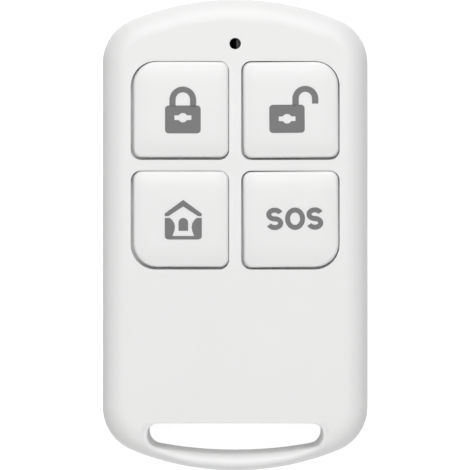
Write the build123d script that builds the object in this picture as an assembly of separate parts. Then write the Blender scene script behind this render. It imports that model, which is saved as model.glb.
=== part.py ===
from build123d import *
from math import acos, degrees, sqrt
import os

# Four-key alarm fob, lying on its back: X to the right, Y towards the status lamp, Z out of the front.
# The origin is the middle of the back. All sizes are millimetres.

# Case
case_width = 35.0
case_length = 62.2
case_thickness = 11.4
end_arc_radius = 35.8
corner_arc_radius = 6.2
rear_height = 4.6
side_wall = 1.6
face_wall = 1.5
floor_wall = 1.5
front_edge_radius = 3.05
front_inner_bevel = 1.0
rear_edge_bevel = 1.0
seam_break = 0.15
cavity_corner_bevel = 1.5
rib_thickness = 0.8
overrun = 1.0

# Joint between the two covers
tongue_thickness = 0.7
tongue_depth = 0.8
tongue_clearance = 0.08
tongue_from_end = 10.0
snap_width = 4.0
snap_thickness = 0.8
snap_reach = 0.45
snap_height = 0.8
snap_clearance = 0.1
snap_above_floor = 0.9
snap_place_shares = (-0.42, 0.50)

# Lanyard slot and the bar outside it
slot_from_side = 6.0
slot_height = 4.2
slot_arc_flatter = 0.7
slot_lower_corner_share = 0.56
slot_upper_corner_share = 0.46
slot_wall = 1.3
bar_width = 2.2
bar_round_radius = 0.98
bar_round_at_ends = 0.4
bar_below_face = 0.8
bar_lip_beyond = 0.5
bar_lip_slope_angle = 50
slot_rear_bevel = 0.4

# Keys
key_side_margin = 3.81
key_bridge_x = 1.58
key_bridge_y = 1.42
keypad_from_end = 8.32
keypad_from_slot = 20.16
aperture_outer_corner = 3.3
aperture_inner_corner = 1.3
key_gap = 0.22
key_proud = 0.6
key_edge_round = 0.9
key_edge_side_shares = (0.414, 1.0)
key_edge_top_shares = (0.586, 0.317)
key_wall = 1.4
key_top_wall = 1.2
key_flange_reach = 0.43
key_flange_thickness = 0.8
key_post_span = 3.2
key_rib_rise = 0.5
key_travel = 0.25
guide_clearance = 0.2
guide_below_flange = 0.25
stiffener_share = 0.36

# Status lamp
lamp_from_end = 6.02
lamp_hole_radius = 0.75
lamp_collar_side = 3.0
lamp_collar_depth = 1.7
light_pipe_clearance = 0.04
light_pipe_below_face = 0.4
light_pipe_edge_bevel = 0.15
light_pipe_flange_side = 2.4
light_pipe_flange_thickness = 0.4
lamp_base_length = 2.0
lamp_base_width = 1.25
lamp_base_height = 0.35
lamp_lens_length = 1.2
lamp_lens_height = 0.45
lamp_lens_round = 0.2

# Circuit board and what locates it
board_thickness = 1.0
board_height = 5.6
board_clearance = 0.4
pillar_side = 2.4
pillar_from_side = 4.0
pillar_from_holder = 1.4
pillar_from_foot = 5.4
pin_radius = 0.7
pin_clearance = 0.1
pin_stand = 0.3
hold_rib_width = 2.4
hold_rib_bite = 0.8
hold_place_shares = (-0.12, 0.78)
antenna_margin = 0.6
antenna_width = 1.0
antenna_thickness = 0.06

# Case screw and its bosses
boss_from_foot = 4.6
rear_boss_radius = 3.4
front_boss_radius = 2.4
boss_clearance = 0.35
boss_gusset_reach = 1.7
screw_head_radius = 1.9
screw_head_height = 1.3
screw_shank_radius = 0.8
screw_shank_length = 6.0
screw_recess_radius = 2.15
screw_recess_depth = 2.4
screw_pass_radius = 1.15
screw_pilot_clearance = 0.05
screw_pilot_beyond = 0.4
screw_cross_length = 2.0
screw_cross_width = 0.5
screw_cross_depth = 0.7

# Push switches
switch_side = 5.2
switch_base_height = 1.1
switch_plate_thickness = 0.2
switch_height = 2.0
switch_well_radius = 2.0
switch_well_floor = 0.3
switch_stem_radius = 1.0
switch_stem_gap = 0.15
switch_foot_radius = 1.5
switch_foot_thickness = 0.25
switch_foot_gap = 0.05
switch_claw_width = 3.0
switch_claw_drop = 0.7
switch_dome_radius = 1.8
switch_dome_crown_radius = 0.9
switch_dome_leg_width = 1.0
switch_dome_foot = 0.17
switch_dome_thickness = 0.08
switch_dome_gap = 0.02
switch_round_sides = 12
switch_corner_break = 0.4
switch_lead_width = 0.7
switch_lead_thickness = 0.15
switch_lead_rise = 0.5
switch_lead_out = 0.3
switch_lead_foot = 0.6
switch_lead_place_share = 0.34

# Coin cell and its contacts
cell_radius = 10.0
cell_thickness = 3.2
cell_cap_radius = 8.8
cell_cap_height = 0.3
cell_from_keypad = 0.9
holder_clearance = 0.15
holder_wall = 1.1
holder_mouth_width = 9.0
holder_above_cell = 0.4
strap_thickness = 0.3
strap_width = 5.0
strap_gap = 0.1
strap_foot_length = 1.2
leaf_thickness = 0.2
leaf_width = 4.0
leaf_end_reach = 5.0
leaf_bend_reach = 3.6
leaf_dish_reach = 2.4

# Radio parts on the board
encoder_length = 4.9
encoder_width = 3.9
encoder_height = 1.4
encoder_lead_spacing = 1.27
encoder_leads_per_side = 4
encoder_place_share = (-0.52, 0.68)
transistor_length = 2.9
transistor_width = 1.3
transistor_height = 1.0
transistor_lead_spacing = 1.9
transistor_place_share = (0.02, 0.70)
small_lead_width = 0.4
small_lead_thickness = 0.15
small_lead_rise = 0.7
small_lead_out = 0.35
small_lead_foot = 0.5
resonator_length = 5.0
resonator_width = 3.5
resonator_height = 1.4
resonator_lid_height = 0.4
resonator_lid_margin = 0.35
resonator_place_share = (0.50, 0.69)
chip_length = 1.6
chip_width = 0.8
resistor_height = 0.45
capacitor_height = 0.8
resistor_place_shares = ((-0.64, 0.36), (-0.50, 0.36), (-0.36, 0.36), (0.36, 0.36), (-0.16, 0.68))
capacitor_row_shares = ((0.50, 0.36), (0.64, 0.36), (0.20, 0.70))
capacitor_upper_shares = ((-0.22, 0.90), (0.22, 0.90), (-0.80, 0.70))

# Heights and places that follow from the sizes
face_under = case_thickness - face_wall
board_top = board_height + board_thickness
flange_bottom = face_under - key_flange_thickness
key_top = case_thickness + key_proud
post_bottom = board_top + switch_height
foot_end_y = -case_length / 2
slot_width = case_width - 2 * slot_from_side
slot_low_y = foot_end_y + bar_width
slot_high_y = slot_low_y + slot_height
end_arc_rise = end_arc_radius - sqrt(end_arc_radius**2 - (slot_width / 2) ** 2)
slot_arc_rise = end_arc_rise - slot_arc_flatter
slot_arc_radius = ((slot_width / 2) ** 2 + slot_arc_rise**2) / (2 * slot_arc_rise)
bar_top = case_thickness - bar_below_face
cavity_low_y = slot_high_y + slot_wall
board_inset = side_wall + board_clearance
board_half_width = case_width / 2 - board_inset
board_low_y = cavity_low_y + board_clearance
board_high_y = case_length / 2 - board_inset
lamp_y = case_length / 2 - lamp_from_end
boss_y = board_low_y + boss_from_foot
screw_seat = screw_recess_depth
aperture_width = case_width / 2 - key_side_margin - key_bridge_x / 2
aperture_height = (case_length / 2 - keypad_from_end - keypad_from_slot - slot_high_y - key_bridge_y) / 2
key_spacing_x = aperture_width + key_bridge_x
key_spacing_y = aperture_height + key_bridge_y
keypad_centre_y = case_length / 2 - keypad_from_end - aperture_height - key_bridge_y / 2
keypad_low_y = keypad_centre_y - key_spacing_y / 2 - aperture_height / 2 - key_flange_reach
guide_depth = key_flange_thickness + key_travel + guide_below_flange
cell_top = board_height - 2 * leaf_thickness
cell_bottom = cell_top - cell_thickness
cell_centre_y = keypad_centre_y - cell_from_keypad
holder_reach = cell_radius + holder_clearance + holder_wall
key_places = {"arm": (-1, 1), "disarm": (1, 1), "home": (-1, -1), "sos": (1, -1)}


def case_outline(inset):
    """Plan of the case, drawn in by inset: straight sides, small arcs at the corners, a long arc at each end."""
    corner_x = case_width / 2 - corner_arc_radius
    between = end_arc_radius - corner_arc_radius
    corner_y = case_length / 2 - end_arc_radius + sqrt(between**2 - corner_x**2)
    corner_turn = degrees(acos(corner_x / between))
    side_x = case_width / 2 - inset
    with BuildSketch() as plan:
        with BuildLine():
            right_side = Line((side_x, -corner_y), (side_x, corner_y))
            lamp_end = end_arcs(right_side, inset, corner_turn)
            left_side = Line(lamp_end @ 1, (-side_x, -corner_y))
            end_arcs(left_side, inset, corner_turn)
        make_face()
    return plan.sketch


def end_arcs(side, inset, corner_turn):
    """The three tangent arcs that close one end after a straight side; gives the last of them."""
    first = JernArc(side @ 1, side % 1, corner_arc_radius - inset, corner_turn)
    crown = JernArc(first @ 1, first % 1, end_arc_radius - inset, 180 - 2 * corner_turn)
    return JernArc(crown @ 1, crown % 1, corner_arc_radius - inset, corner_turn)


def above_line(low_y):
    """A rectangle that covers all of the plan above low_y."""
    height = case_length / 2 + overrun - low_y
    return Pos(0, low_y + height / 2) * Rectangle(case_width + 2 * overrun, height)


def case_plan_above(inset, low_y):
    """The case plan drawn in by inset, and cut straight at low_y above the lanyard slot."""
    return case_outline(inset) & above_line(low_y)


def slot_plan(narrower, lower):
    """The lanyard slot, with one long arc along the foot; the ends can be drawn in and the top set lower."""
    half = slot_width / 2 - narrower
    side_y = slot_low_y + slot_arc_radius - sqrt(slot_arc_radius**2 - half**2)
    top_y = slot_high_y - lower
    with BuildSketch() as plan:
        with BuildLine():
            Polyline((-half, side_y), (-half, top_y), (half, top_y), (half, side_y))
            ThreePointArc((half, side_y), (0, slot_low_y), (-half, side_y))
        make_face()
        fillet(plan.vertices().sort_by(Axis.Y)[:2], slot_lower_corner_share * (top_y - side_y))
        fillet(plan.vertices().sort_by(Axis.Y)[-2:], slot_upper_corner_share * (top_y - side_y))
    return plan.sketch


def bar_lip():
    """What comes off above the bar, so that it lies lower than the face; the sides slope up to the face."""
    length = bar_width + slot_height / 2 + overrun
    plan = Rectangle(slot_width + 2 * bar_lip_beyond, length)
    place = Pos(0, foot_end_y - overrun + length / 2, bar_top)
    return place * extrude(plan, bar_below_face + overrun, taper=-bar_lip_slope_angle)


def bar_rounding():
    """What comes off the slot's rim: the full round along the bar, less at the ends, none at the top."""
    depth = bar_round_radius + overrun
    below = Pos(0, 0, bar_top - depth)
    plate = below * Pos(0, slot_low_y) * extrude(Rectangle(case_width, 2 * (slot_height + overrun)), depth)
    opening = slot_plan(bar_round_radius - bar_round_at_ends, bar_round_radius)
    rounded = plate - below * extrude(opening, depth)
    top = rounded.faces().sort_by(Axis.Z)[-1]
    return plate - fillet(top.inner_wires()[0].edges(), bar_round_radius)


def key_plan(column, row, grow):
    """One key place grown by grow: three small corners, and a large one at the corner of the keypad."""
    with BuildSketch() as plan:
        Rectangle(aperture_width + 2 * grow, aperture_height + 2 * grow)
        corners = plan.vertices().sort_by(lambda corner: column * corner.X + row * corner.Y)
        fillet(corners[:-1], aperture_inner_corner + grow)
        outer = plan.vertices().sort_by(lambda corner: column * corner.X + row * corner.Y)[-1]
        fillet(outer, aperture_outer_corner + grow)
    return key_centre(column, row) * plan.sketch


def key_centre(column, row):
    """Middle of one key place."""
    return Pos(column * key_spacing_x / 2, keypad_centre_y + row * key_spacing_y / 2)


def pillar_centres():
    """Middles of the four pillars that carry the board."""
    pillar_x = board_half_width - pillar_from_side
    rows = (board_low_y + pillar_from_foot, cell_centre_y + holder_reach + pillar_from_holder)
    return [Pos(side * pillar_x, row) for side in (-1, 1) for row in rows]


def pin_centres():
    """The two pillars, across from each other, whose pins locate the board."""
    return pillar_centres()[1:3]


def snap_profile(grow):
    """Section of a snap barb in X and Z, grown by grow, with its slope towards the floor."""
    wall_x = case_width / 2 - side_wall
    low = floor_wall + snap_above_floor - grow
    high = low + snap_height + 2 * grow
    tip_x = wall_x + snap_reach - snap_clearance + grow
    points = [(wall_x - snap_thickness, low), (wall_x - snap_clearance, low), (tip_x, high - snap_height / 2)]
    points += [(tip_x, high), (wall_x - snap_thickness, high)]
    return make_face(Plane.XZ * Polyline(*points, close=True))


def snaps(grow):
    """The four snap barbs, or with grow the pockets that take them."""
    barb = extrude(snap_profile(grow), snap_width / 2 + grow, both=True)
    right = [Pos(0, share * board_high_y) * barb for share in snap_place_shares]
    return right + [mirror(one, Plane.YZ) for one in right]


def snap_tabs():
    """The thin tabs that hang from the front cover's wall and carry the barbs."""
    wall_x = case_width / 2 - side_wall
    low = floor_wall + snap_above_floor
    stem_height = rear_height - low
    root_height = board_height - board_clearance - (rear_height - tongue_depth)
    stem = Pos(wall_x - snap_clearance - snap_thickness / 2, 0, low + stem_height / 2) * Box(
        snap_thickness, snap_width, stem_height
    )
    root_width = snap_thickness + snap_clearance + tongue_thickness / 2
    root_z = rear_height - tongue_depth + root_height / 2
    root = Pos(wall_x - snap_thickness - snap_clearance + root_width / 2, 0, root_z) * Box(
        root_width, snap_width, root_height
    )
    right = [Pos(0, share * board_high_y) * (stem + root) for share in snap_place_shares]
    return right + [mirror(one, Plane.YZ) for one in right]


def front_block():
    """Outer form of the front cover: rounded face edge, lanyard slot and round bar."""
    block = Pos(0, 0, rear_height) * extrude(case_outline(0), case_thickness - rear_height)
    block = fillet(block.edges().group_by(Axis.Z)[-1], front_edge_radius)
    return block - extrude(slot_plan(0, 0), case_thickness + overrun) - bar_lip() - bar_rounding()


def cavity(bottom, top):
    """Hollow of one cover: the case plan inside the side wall, its foot corners bevelled."""
    hollow = extrude(case_plan_above(side_wall, cavity_low_y), top - bottom)
    foot_corners = hollow.edges().filter_by(Axis.Z).group_by(Axis.Y)[0]
    return Pos(0, 0, bottom) * chamfer(foot_corners, cavity_corner_bevel)


def tongues(bottom, top, clearance):
    """Strip in each long side wall: the front cover's tongue, or with clearance the rear cover's groove."""
    width = tongue_thickness + clearance
    strip = Rectangle(width, case_length - 2 * (tongue_from_end - clearance))
    place = case_width / 2 - side_wall + width / 2
    return [Pos(side * place, 0, bottom) * extrude(strip, top - bottom) for side in (-1, 1)]


def key_guide():
    """Frame under the face that keeps the four key flanges in line."""
    width = key_spacing_x + aperture_width + 2 * (key_flange_reach + guide_clearance)
    height = key_spacing_y + aperture_height + 2 * (key_flange_reach + guide_clearance)
    frame = Rectangle(width + 2 * rib_thickness, height + 2 * rib_thickness) - Rectangle(width, height)
    return Pos(0, keypad_centre_y, face_under - guide_depth) * extrude(frame, guide_depth + face_wall / 2)


def hanging(plan, low_z):
    """A rib, boss or collar that hangs from the face down to low_z."""
    return Pos(0, 0, low_z) * extrude(plan, face_under + face_wall / 4 - low_z)


def hold_down_ribs():
    """Ribs on the side walls that press the board onto its pillars."""
    width = board_clearance + hold_rib_bite + side_wall / 4
    rib = Pos(board_half_width - hold_rib_bite + width / 2, 0) * Rectangle(width, hold_rib_width)
    right = [Pos(0, share * board_high_y) * rib for share in hold_place_shares]
    plans = right + [mirror(one, Plane.YZ) for one in right]
    return [hanging(plan, board_top) for plan in plans]


def front_cover():
    """Front moulding with the key openings, lamp hole, key guide, screw boss, ribs, tongue and snap tabs."""
    hollow = cavity(rear_height - overrun, face_under)
    cover = front_block() - chamfer(hollow.edges().group_by(Axis.Z)[-1], front_inner_bevel)
    for column, row in key_places.values():
        cover -= extrude(key_plan(column, row, 0), case_thickness + overrun)
    cover -= Pos(0, lamp_y) * extrude(Circle(lamp_hole_radius), case_thickness + overrun)
    cover += key_guide()
    collar = Pos(0, lamp_y) * Rectangle(lamp_collar_side, lamp_collar_side)
    cover += hanging(collar, face_under - lamp_collar_depth)
    cover -= Pos(0, lamp_y) * extrude(Circle(lamp_hole_radius), case_thickness)
    cover += hanging(Pos(0, boss_y) * Circle(front_boss_radius), rear_height)
    gusset_width = 2 * (front_boss_radius + boss_gusset_reach)
    cover += hanging(Pos(0, boss_y) * Rectangle(gusset_width, rib_thickness), board_top)
    stiffener_length = keypad_low_y - cavity_low_y
    for side in (-1, 1):
        place = Pos(side * key_spacing_x * stiffener_share, keypad_low_y - stiffener_length / 2)
        cover += hanging(place * Rectangle(rib_thickness, stiffener_length), face_under - rib_thickness)
    inner_parts = tongues(rear_height - tongue_depth, rear_height + seam_break, 0) + hold_down_ribs()
    for piece in inner_parts + snap_tabs() + snaps(0):
        cover += piece
    pilot_depth = screw_seat + screw_shank_length + screw_pilot_beyond
    pilot = extrude(Circle(screw_shank_radius + screw_pilot_clearance), pilot_depth)
    return cover - Pos(0, boss_y) * pilot


def rear_cover():
    """Rear moulding with the screw recess and boss, board pillars, two pins, snap pockets and the slot."""
    block = extrude(case_outline(0), rear_height)
    block = chamfer(block.edges().group_by(Axis.Z)[0], rear_edge_bevel)
    block = chamfer(block.edges().group_by(Axis.Z)[-1], seam_break)
    block -= extrude(slot_plan(0, 0), rear_height)
    back = block.faces().sort_by(Axis.Z)[0]
    cover = chamfer(back.inner_wires()[0].edges(), slot_rear_bevel)
    cover -= cavity(floor_wall, rear_height + overrun)
    grooves = tongues(rear_height - tongue_depth - tongue_clearance, rear_height + overrun, tongue_clearance)
    for pocket in grooves + snaps(snap_clearance):
        cover -= pocket
    cover += Pos(0, boss_y) * extrude(Circle(rear_boss_radius), rear_height)
    gusset_width = 2 * (rear_boss_radius + boss_gusset_reach)
    gusset = Rectangle(gusset_width, rib_thickness) + Rectangle(rib_thickness, gusset_width)
    cover += Pos(0, boss_y, floor_wall / 2) * extrude(gusset, rear_height / 2)
    for place in pillar_centres():
        cover += place * extrude(Rectangle(pillar_side, pillar_side), board_height)
    for place in pin_centres():
        cover += place * extrude(Circle(pin_radius), board_top + pin_stand)
    underside = Pos(0, 0, -overrun) * extrude(case_outline(0), overrun)
    cover -= underside
    cover -= Pos(0, boss_y) * extrude(Circle(screw_recess_radius), screw_recess_depth)
    return cover - Pos(0, boss_y) * extrude(Circle(screw_pass_radius), rear_height)


def case_screw():
    """Screw from the rear recess up into the front boss, with a cross recess in its head."""
    head_low = screw_seat - screw_head_height
    head = Pos(0, 0, head_low) * extrude(Circle(screw_head_radius), screw_head_height)
    shank = Pos(0, 0, screw_seat) * extrude(Circle(screw_shank_radius), screw_shank_length)
    arm = Rectangle(screw_cross_length, screw_cross_width) + Rectangle(screw_cross_width, screw_cross_length)
    cross = Pos(0, 0, head_low - overrun) * extrude(arm, screw_cross_depth + overrun)
    return Pos(0, boss_y) * (head + shank - cross)


def key(column, row):
    """One key: hollow cap with its top edge taken round in two steps, flange, cross ribs and pushing post."""
    cap = extrude(key_plan(column, row, -key_gap), key_top - flange_bottom)
    for top_share, side_share in (key_edge_side_shares, key_edge_top_shares):
        top = cap.faces().sort_by(Axis.Z)[-1]
        cap = chamfer(top.edges(), top_share * key_edge_round, side_share * key_edge_round, reference=top)
    grown = 2 * key_flange_reach
    flange = key_centre(column, row) * Rectangle(aperture_width + grown, aperture_height + grown)
    cap += extrude(flange, key_flange_thickness)
    drawn_in = 2 * (key_gap + key_wall)
    hollow = key_centre(column, row) * Rectangle(aperture_width - drawn_in, aperture_height - drawn_in)
    hollow_height = key_top - key_top_wall - flange_bottom
    cap -= extrude(hollow, hollow_height)
    ribs = Rectangle(aperture_width, rib_thickness) + Rectangle(rib_thickness, aperture_height)
    ribs = (key_centre(column, row) * ribs) & hollow
    cap += Pos(0, 0, key_rib_rise) * extrude(ribs, hollow_height + key_top_wall / 2 - key_rib_rise)
    post = Rectangle(key_post_span, rib_thickness) + Rectangle(rib_thickness, key_post_span)
    post = extrude(key_centre(column, row) * post, key_top - key_top_wall / 2 - post_bottom)
    return Pos(0, 0, flange_bottom) * cap + Pos(0, 0, post_bottom) * post


def circuit_board():
    """The board: plan inside the case wall, holes for the locating pins and for the screw boss."""
    plan = case_plan_above(board_inset, board_low_y)
    for place in pin_centres():
        plan -= place * Circle(pin_radius + pin_clearance)
    plan -= Pos(0, boss_y) * Circle(front_boss_radius + boss_clearance)
    board = extrude(plan, board_thickness)
    foot_corners = board.edges().filter_by(Axis.Z).group_by(Axis.Y)[0]
    return Pos(0, 0, board_height) * chamfer(foot_corners, cavity_corner_bevel)


def antenna_track():
    """Printed loop that follows the foot of the board, open towards the keys."""
    margin = antenna_margin
    inner = antenna_margin + antenna_width
    ring = case_plan_above(board_inset + margin, board_low_y + margin)
    ring -= case_plan_above(board_inset + inner, board_low_y + inner)
    track = Pos(0, 0, board_top) * extrude(ring, antenna_thickness)
    above = above_line(keypad_low_y)
    return track - Pos(0, 0, board_top - overrun) * extrude(above, antenna_thickness + 2 * overrun)


def gull_lead(rise, out, foot, thickness, width):
    """A lead that leaves a body at x = 0, turns down and ends in a flat foot on the board."""
    turn = out + thickness
    points = [(0, rise), (turn, rise), (turn, thickness), (out + foot, thickness), (out + foot, 0)]
    points += [(out, 0), (out, rise - thickness), (0, rise - thickness)]
    return extrude(make_face(Plane.XZ * Polyline(*points, close=True)), width / 2, both=True)


def both_sides(lead, half_width, offsets):
    """Copies of a lead on the right and left side of a body, at the given offsets along Y."""
    placed = [Pos(half_width, offset) * lead for offset in offsets]
    return placed + [Rot(0, 0, 180) * one for one in placed]


def switch_round(radius):
    """Plan of a small round part of a switch, in straight sides because each comes four times over."""
    return RegularPolygon(radius, switch_round_sides)


def switch_base():
    """Moulded switch base with its round well."""
    plan = Rectangle(switch_side, switch_side)
    base = extrude(plan, switch_base_height)
    base = chamfer(base.edges().filter_by(Axis.Z), switch_corner_break)
    return base - Pos(0, 0, switch_well_floor) * extrude(switch_round(switch_well_radius), switch_base_height)


def switch_cover():
    """Metal cover: holed plate with two claws folded down over the base."""
    plate = extrude(Rectangle(switch_side - 2 * switch_corner_break, switch_side), switch_plate_thickness)
    plate -= extrude(switch_round(switch_stem_radius + switch_stem_gap), switch_plate_thickness)
    claw_height = switch_claw_drop + switch_plate_thickness
    claw = extrude(Rectangle(switch_claw_width, switch_plate_thickness), claw_height)
    claw_y = (switch_side + switch_plate_thickness) / 2
    plate += Pos(0, claw_y, -switch_claw_drop) * claw
    plate += Pos(0, -claw_y, -switch_claw_drop) * claw
    return Pos(0, 0, switch_base_height) * plate


def switch_plunger():
    """Stem with the foot that the cover holds in."""
    foot_top = switch_base_height - switch_foot_gap
    foot_low = foot_top - switch_foot_thickness
    foot = Pos(0, 0, foot_low) * extrude(switch_round(switch_foot_radius), switch_foot_thickness)
    return foot + Pos(0, 0, foot_low) * extrude(switch_round(switch_stem_radius), switch_height - foot_low)


def switch_dome():
    """Snap dome: two crossed leaves whose four bent legs stand on the well floor and carry the plunger."""
    foot_low = switch_base_height - switch_foot_gap - switch_foot_thickness
    rise = foot_low - switch_dome_gap - switch_well_floor
    inner_crown = switch_dome_crown_radius - switch_dome_thickness / 4
    right = [(switch_dome_crown_radius, rise), (switch_dome_radius, 0)]
    right += [(switch_dome_radius - switch_dome_foot, 0), (inner_crown, rise - switch_dome_thickness)]
    left = [(-x, z) for x, z in reversed(right)]
    section = make_face(Plane.XZ * Polyline(*right, *left, close=True))
    leaf = extrude(section, switch_dome_leg_width / 2, both=True)
    return Pos(0, 0, switch_well_floor) * (leaf + Rot(0, 0, 90) * leaf)


def switch_leads():
    """Four leads of one switch."""
    foot = switch_lead_foot
    lead = gull_lead(switch_lead_rise, switch_lead_out, foot, switch_lead_thickness, switch_lead_width)
    place = switch_side * switch_lead_place_share
    return both_sides(lead, switch_side / 2, (-place, place))


def coin_cell():
    """Button cell, its can towards the back and its smaller cap towards the board."""
    can_height = cell_thickness - cell_cap_height
    can = extrude(Circle(cell_radius), can_height)
    cap = Pos(0, 0, can_height) * extrude(Circle(cell_cap_radius), cell_cap_height)
    return Pos(0, cell_centre_y, cell_bottom) * (can + cap)


def battery_holder():
    """Moulded frame round the cell, open towards the lamp so that the cell can be prised out."""
    low = cell_bottom + holder_above_cell
    frame = Rectangle(2 * holder_reach, 2 * holder_reach) - Circle(cell_radius + holder_clearance)
    frame -= Pos(0, holder_reach) * Rectangle(holder_mouth_width, holder_reach)
    return Pos(0, cell_centre_y, low) * extrude(frame, board_height - low)


def positive_contact():
    """Spring strap across the cell's can, with a leg at each side up to the board and a foot on it."""
    leg_x = holder_reach + strap_gap
    foot_x = leg_x + strap_foot_length
    low = cell_bottom - strap_thickness
    right = [(leg_x + strap_thickness, low), (leg_x + strap_thickness, board_height - strap_thickness)]
    right += [(foot_x, board_height - strap_thickness), (foot_x, board_height), (leg_x, board_height)]
    right += [(leg_x, cell_bottom)]
    left = [(-x, z) for x, z in reversed(right)]
    section = make_face(Plane.XZ * Polyline(*right, *left, close=True))
    return Pos(0, cell_centre_y) * extrude(section, strap_width / 2, both=True)


def negative_contact():
    """Bent leaf between the cell's cap and the board."""
    flat = board_height - leaf_thickness
    right = [(leaf_dish_reach, cell_top), (leaf_bend_reach, flat), (leaf_end_reach, flat)]
    right += [(leaf_end_reach, board_height), (leaf_bend_reach, board_height), (leaf_dish_reach, flat)]
    left = [(-x, z) for x, z in reversed(right)]
    section = make_face(Plane.XZ * Polyline(*right, *left, close=True))
    return Pos(0, cell_centre_y) * extrude(section, leaf_width / 2, both=True)


def radio_place(share):
    """A place on the board between the keys and the slot, in shares of that area."""
    return Pos(share[0] * board_half_width, board_low_y + share[1] * (keypad_low_y - board_low_y), board_top)


def small_lead():
    """Lead of a small package."""
    return gull_lead(small_lead_rise, small_lead_out, small_lead_foot, small_lead_thickness, small_lead_width)


def packaged(length, width, height, place_share):
    """Moulded body of a small package, lifted off the board on its leads."""
    body = extrude(Rectangle(length, width), height)
    body = chamfer(body.edges().group_by(Axis.Z)[-1], small_lead_thickness)
    return radio_place(place_share) * Pos(0, 0, antenna_thickness) * body


def encoder_leads():
    """Eight leads, four along each long side of the encoder."""
    middle = (encoder_leads_per_side - 1) / 2
    offsets = [(index - middle) * encoder_lead_spacing for index in range(encoder_leads_per_side)]
    leads = both_sides(small_lead(), encoder_width / 2, offsets)
    return [radio_place(encoder_place_share) * Rot(0, 0, 90) * lead for lead in leads]


def transistor_leads():
    """Three leads: two on one side of the transistor, one on the other."""
    half = transistor_lead_spacing / 2
    leads = both_sides(small_lead(), transistor_width / 2, (-half, half))[:2]
    leads += both_sides(small_lead(), transistor_width / 2, (0,))[1:]
    return [radio_place(transistor_place_share) * Rot(0, 0, 90) * lead for lead in leads]


def saw_resonator():
    """Ceramic base with a smaller metal lid."""
    base_height = resonator_height - resonator_lid_height
    base = extrude(Rectangle(resonator_length, resonator_width), base_height)
    margin = 2 * resonator_lid_margin
    lid = extrude(Rectangle(resonator_length - margin, resonator_width - margin), resonator_height)
    return radio_place(resonator_place_share) * (base + lid)


def chips(shares, height):
    """Small two-ended chips of one height, one at each share place."""
    chip = extrude(Rectangle(chip_width, chip_length), height)
    return [radio_place(share) * chip for share in shares]


def lamp_base():
    """White base of the status lamp."""
    return Pos(0, lamp_y, board_top) * extrude(Rectangle(lamp_base_length, lamp_base_width), lamp_base_height)


def lamp_lens():
    """Clear block of the status lamp."""
    lens = extrude(Rectangle(lamp_lens_length, lamp_base_width), lamp_lens_height)
    lens = fillet(lens.edges().group_by(Axis.Z)[-1], lamp_lens_round)
    return Pos(0, lamp_y, board_top + lamp_base_height) * lens


def light_pipe():
    """Smoked guide that carries the lamp's light up the hole, its flange fixed under the collar."""
    collar_low = face_under - lamp_collar_depth
    stem_height = case_thickness - light_pipe_below_face - collar_low
    stem = extrude(Circle(lamp_hole_radius - light_pipe_clearance), stem_height)
    stem = chamfer(stem.edges().group_by(Axis.Z)[-1], light_pipe_edge_bevel)
    flange_plan = Rectangle(light_pipe_flange_side, light_pipe_flange_side)
    flange = Pos(0, 0, -light_pipe_flange_thickness) * extrude(flange_plan, light_pipe_flange_thickness)
    return Pos(0, lamp_y, collar_low) * (stem + flange)


def write(name, solids):
    """Writes one node; a list becomes a group of separate solids."""
    shape = Compound(children=solids) if isinstance(solids, list) else solids
    export_step(shape, f"parts/{name}.step")


os.makedirs("parts", exist_ok=True)
write("front_cover", front_cover())
write("rear_cover", rear_cover())
write("case_screw", case_screw())
write("circuit_board", circuit_board())
write("antenna_track", antenna_track())
all_leads = []
for name, (column, row) in key_places.items():
    write(f"{name}_button", key(column, row))
    on_board = Pos(0, 0, board_top) * key_centre(column, row)
    write(f"{name}_switch_base", on_board * switch_base())
    write(f"{name}_switch_cover", on_board * switch_cover())
    write(f"{name}_switch_dome", on_board * switch_dome())
    write(f"{name}_switch_plunger", on_board * switch_plunger())
    all_leads += [on_board * lead for lead in switch_leads()]
write("switch_leads", all_leads)
write("coin_cell", coin_cell())
write("battery_holder", battery_holder())
write("positive_contact", positive_contact())
write("negative_contact", negative_contact())
encoder = packaged(encoder_length, encoder_width, encoder_height, encoder_place_share)
write("encoder_chip", encoder)
write("encoder_chip_leads", encoder_leads())
transistor = packaged(transistor_length, transistor_width, transistor_height, transistor_place_share)
write("rf_transistor", transistor)
write("rf_transistor_leads", transistor_leads())
write("saw_resonator", saw_resonator())
write("chip_resistors", chips(resistor_place_shares, resistor_height))
write("chip_capacitors", chips(capacitor_row_shares + capacitor_upper_shares, capacitor_height))
write("status_lamp_base", lamp_base())
write("status_lamp_lens", lamp_lens())
write("lamp_light_pipe", light_pipe())
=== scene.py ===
import bmesh
import bpy
import numpy as np
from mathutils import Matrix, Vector


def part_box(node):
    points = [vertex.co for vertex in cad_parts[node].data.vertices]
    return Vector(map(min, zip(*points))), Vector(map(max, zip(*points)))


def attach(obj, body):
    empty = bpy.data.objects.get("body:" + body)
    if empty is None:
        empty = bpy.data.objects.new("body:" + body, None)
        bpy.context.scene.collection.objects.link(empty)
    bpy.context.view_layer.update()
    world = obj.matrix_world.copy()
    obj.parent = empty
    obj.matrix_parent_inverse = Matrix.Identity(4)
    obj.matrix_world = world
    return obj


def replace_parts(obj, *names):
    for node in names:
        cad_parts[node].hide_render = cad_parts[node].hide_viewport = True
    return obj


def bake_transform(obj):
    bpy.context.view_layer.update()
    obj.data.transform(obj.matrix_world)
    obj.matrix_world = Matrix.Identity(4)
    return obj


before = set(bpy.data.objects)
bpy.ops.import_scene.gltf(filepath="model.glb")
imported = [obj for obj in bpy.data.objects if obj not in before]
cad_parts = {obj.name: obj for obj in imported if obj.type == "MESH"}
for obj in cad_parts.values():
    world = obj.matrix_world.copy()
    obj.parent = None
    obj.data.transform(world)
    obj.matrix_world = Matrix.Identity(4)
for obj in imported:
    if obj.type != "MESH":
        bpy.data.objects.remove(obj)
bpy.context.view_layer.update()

mm = 0.001

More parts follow.
